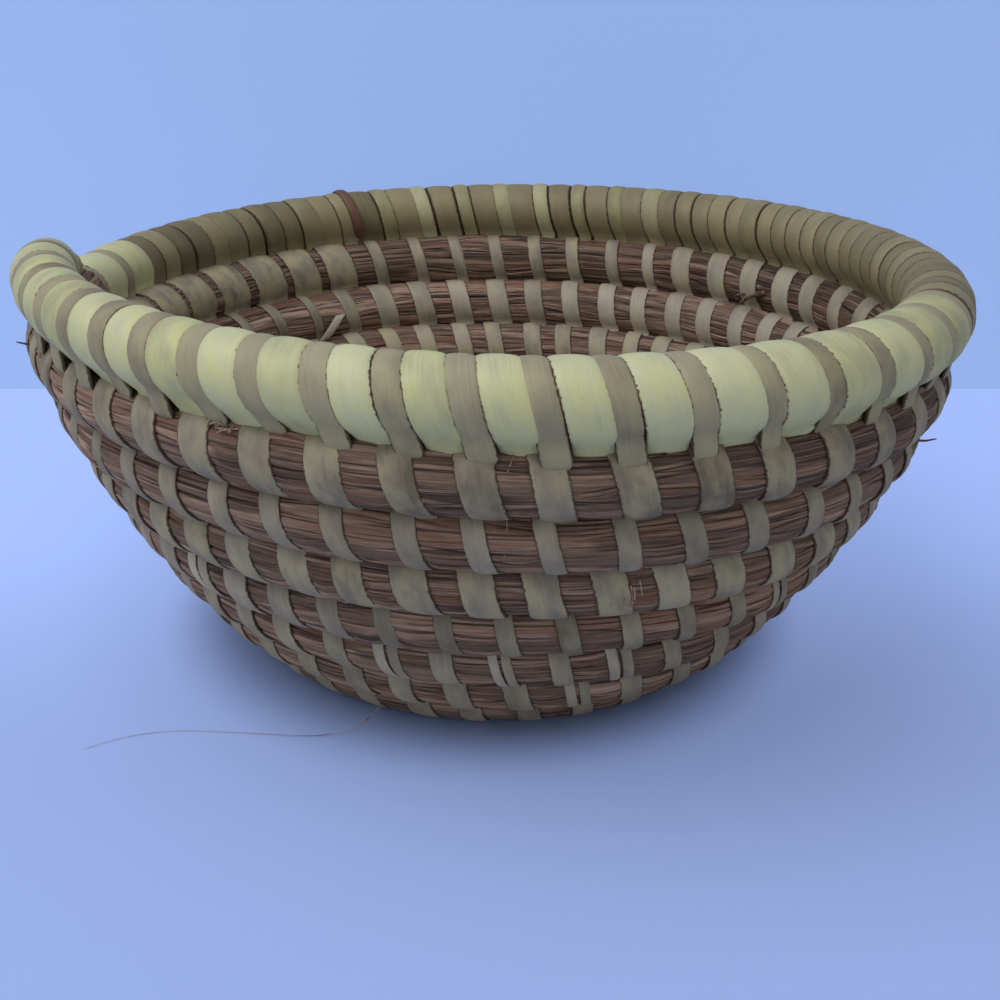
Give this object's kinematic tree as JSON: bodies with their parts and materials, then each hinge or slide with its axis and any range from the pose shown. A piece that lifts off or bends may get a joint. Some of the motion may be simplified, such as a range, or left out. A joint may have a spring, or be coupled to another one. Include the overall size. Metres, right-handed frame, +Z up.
{
  "type": "coiled basket",
  "caption": "Coiled bowl basket of brown grass bundles sewn with open leaf stitches, its thick rim whipped in cream and tan leaf.",
  "frame": {"origin": "on the floor under the middle of the basket's bounding box", "axes": "+Z up out of the mouth, -X towards the side where the rim bundle ends on its own start, -Y towards the picture's viewer"},
  "size_m": [0.225, 0.2218, 0.1008],
  "materials": {
    "brown_grass": "dry bundled grass stems, matte",
    "rim_grass": "dry bundled grass stems, matte",
    "olive_leaf": "dry split leaf, dull satin",
    "cream_leaf": "dry split leaf, satin",
    "tan_leaf": "dry split leaf, dull satin"
  },
  "bodies": {
    "root": {"foundation_coil": "brown_grass", "rim_coil": "rim_grass", "sewing_strip_01": "olive_leaf", "sewing_strip_02": "olive_leaf", "sewing_strip_03": "olive_leaf", "sewing_strip_04": "olive_leaf", "sewing_strip_05": "olive_leaf", "sewing_strip_06": "olive_leaf", "sewing_strip_07": "olive_leaf", "sewing_strip_08": "olive_leaf", "sewing_strip_09": "olive_leaf", "sewing_strip_10": "olive_leaf", "sewing_strip_11": "olive_leaf", "sewing_strip_12": "olive_leaf", "sewing_strip_13": "olive_leaf", "sewing_strip_14": "olive_leaf", "sewing_strip_15": "olive_leaf", "sewing_strip_16": "olive_leaf", "sewing_strip_17": "olive_leaf", "sewing_strip_18": "olive_leaf", "sewing_strip_19": "olive_leaf", "sewing_strip_20": "olive_leaf", "sewing_strip_21": "olive_leaf", "sewing_strip_22": "olive_leaf", "rim_cream_strip_1": "cream_leaf", "rim_cream_strip_2": "cream_leaf", "rim_cream_strip_3": "cream_leaf", "rim_cream_strip_4": "cream_leaf", "rim_cream_strip_5": "cream_leaf", "rim_tan_strip_1": "tan_leaf", "rim_tan_strip_2": "tan_leaf", "rim_tan_strip_3": "tan_leaf", "rim_tan_strip_4": "tan_leaf"}
  },
  "joints": []
}
